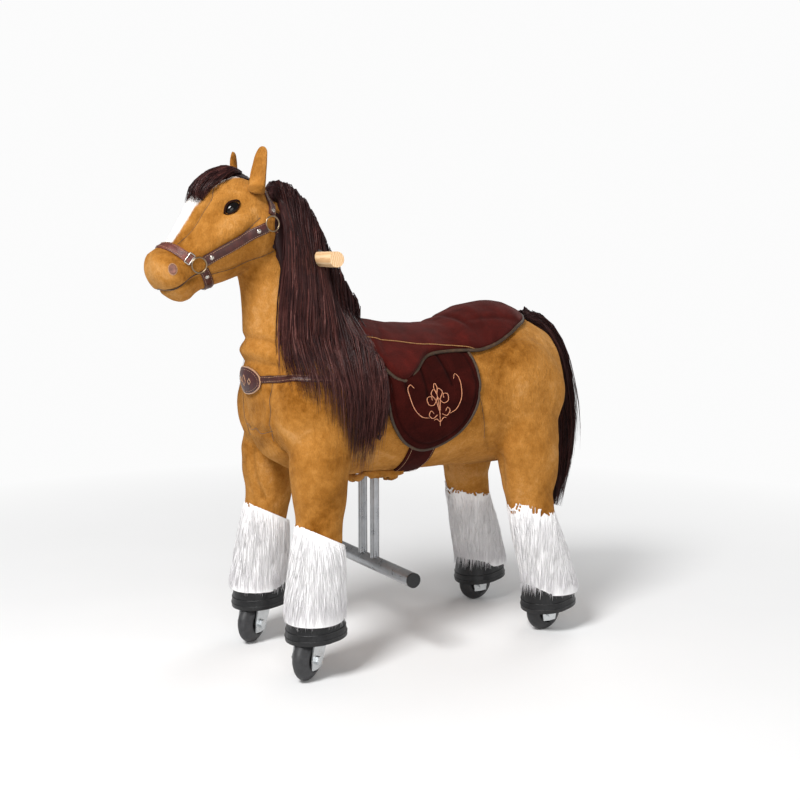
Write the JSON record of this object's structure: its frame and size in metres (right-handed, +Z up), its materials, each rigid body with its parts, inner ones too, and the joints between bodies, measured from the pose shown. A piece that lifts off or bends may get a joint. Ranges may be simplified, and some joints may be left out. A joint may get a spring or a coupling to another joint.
{
  "type": "ride-on toy horse",
  "caption": "Stuffed plush ride-on horse on caster wheels, with hinged leg frames, a sliding footrest bar, a saddle and a wooden grip.",
  "frame": {"origin": "middle of the bounding box's footprint, on the floor", "axes": "+X forwards to the nose, +Y to the horse's left, +Z up"},
  "size_m": [0.8372, 0.3174, 0.8448],
  "materials": {
    "steel_dark": "satin",
    "steel_grey": "satin",
    "zinc": "satin",
    "nylon": "matt",
    "plywood": "matt",
    "beech": "satin",
    "plush_tan": "short pile",
    "fur_white": "long pile",
    "hair_brown": "long fibres",
    "suede": "suede",
    "flap_cloth": "suede",
    "leather": "satin",
    "eye": "gloss",
    "nostril": "matt",
    "badge": "satin",
    "hoof": "satin",
    "tyre": "matt",
    "hub": "matt",
    "cap": "satin"
  },
  "bodies": {
    "body": {"main_frame": "steel_dark", "pivot_bushes": "nylon", "post_bushes": "nylon", "seat_board": "plywood", "body_plush": "plush_tan", "head_plush": "plush_tan", "ears": "plush_tan", "eyes": "eye", "nostrils": "nostril", "forelock": "hair_brown", "mane": "hair_brown", "tail": "hair_brown", "wooden_grip": "beech", "grip_screws": "zinc", "saddle_seat": "suede", "saddle_flap_left": "flap_cloth", "saddle_flap_right": "flap_cloth", "girth_strap": "leather", "girth_buckle": "zinc", "halter_noseband": "leather", "halter_cheek_straps": "leather", "halter_crown_strap": "leather", "halter_rings": "zinc", "halter_rivets": "zinc", "breast_strap": "leather", "chest_badge": "badge", "belly_gaiter": "plush_tan", "return_spring": "zinc"},
    "front_legs": {"front_leg_frame": "steel_grey", "front_leg_plush_left": "plush_tan", "front_leg_plush_right": "plush_tan", "front_fur_left": "fur_white", "front_fur_right": "fur_white", "front_hooves": "hoof", "caster_kingpins": "zinc"},
    "rear_legs": {"rear_leg_frame": "steel_grey", "rear_leg_plush_left": "plush_tan", "rear_leg_plush_right": "plush_tan", "rear_fur_left": "fur_white", "rear_fur_right": "fur_white", "rear_hooves": "hoof", "rear_forks": "zinc", "rear_axles": "zinc"},
    "caster_left": {"caster_fork_left": "zinc", "caster_axle_left": "zinc"},
    "caster_right": {"caster_fork_right": "zinc", "caster_axle_right": "zinc"},
    "front_wheel_left": {"front_hub_left": "hub", "front_tyre_left": "tyre"},
    "front_wheel_right": {"front_hub_right": "hub", "front_tyre_right": "tyre"},
    "rear_wheel_left": {"rear_hub_left": "hub", "rear_tyre_left": "tyre"},
    "rear_wheel_right": {"rear_hub_right": "hub", "rear_tyre_right": "tyre"},
    "footrest": {"footrest_frame": "steel_grey", "footrest_caps": "cap"},
    "front_link": {"front_link": "steel_dark"},
    "rear_link": {"rear_link": "steel_dark"}
  },
  "joints": [
    {"name": "front_leg_swing", "type": "hinge", "parent": "body", "child": "front_legs", "pos_m": [0.15125, 0, 0.432], "axis": [0, -1, 0], "range_deg": [0, 10], "stiffness_Nm_per_rad": 46, "springref_deg": -10},
    {"name": "rear_leg_swing", "type": "hinge", "parent": "body", "child": "rear_legs", "pos_m": [-0.24275, 0, 0.432], "axis": [0, 1, 0], "range_deg": [0, 10]},
    {"name": "footrest_slide", "type": "slide", "parent": "body", "child": "footrest", "axis": [0, 0, 1], "range_m": [0, 0.02], "deforming": ["return_spring"]},
    {"name": "front_link_turn", "type": "hinge", "parent": "front_legs", "child": "front_link", "pos_m": [0.15125, 0, 0.46654], "axis": [0, 1, 0], "range_deg": [0, 19.59]},
    {"name": "rear_link_turn", "type": "hinge", "parent": "rear_legs", "child": "rear_link", "pos_m": [-0.24275, 0, 0.45358], "axis": [0, -1, 0], "range_deg": [0, 14.36]},
    {"name": "caster_swivel_left", "type": "hinge", "parent": "front_legs", "child": "caster_left", "pos_m": [0.19125, 0.109, 0.079], "axis": [0, 0, 1], "continuous": true},
    {"name": "front_wheel_spin_left", "type": "hinge", "parent": "caster_left", "child": "front_wheel_left", "pos_m": [0.20761, 0.11962, 0.035], "axis": [-0.5446, 0.8387, 0], "continuous": true},
    {"name": "caster_swivel_right", "type": "hinge", "parent": "front_legs", "child": "caster_right", "pos_m": [0.19125, -0.109, 0.079], "axis": [0, 0, 1], "continuous": true},
    {"name": "front_wheel_spin_right", "type": "hinge", "parent": "caster_right", "child": "front_wheel_right", "pos_m": [0.20761, -0.09838, 0.035], "axis": [-0.5446, 0.8387, 0], "continuous": true},
    {"name": "rear_wheel_spin_left", "type": "hinge", "parent": "rear_legs", "child": "rear_wheel_left", "pos_m": [-0.27575, 0.109, 0.035], "axis": [0, 1, 0], "continuous": true},
    {"name": "rear_wheel_spin_right", "type": "hinge", "parent": "rear_legs", "child": "rear_wheel_right", "pos_m": [-0.27575, -0.109, 0.035], "axis": [0, 1, 0], "continuous": true}
  ],
  "couplings": [
    {"joint": "rear_leg_swing", "follows": "front_leg_swing", "ratio": 1},
    {"joint": "footrest_slide", "follows": "front_leg_swing", "m_per_rad": 0.11459},
    {"joint": "front_link_turn", "follows": "front_leg_swing", "ratio": 1.9578},
    {"joint": "rear_link_turn", "follows": "front_leg_swing", "ratio": 1.4352}
  ]
}
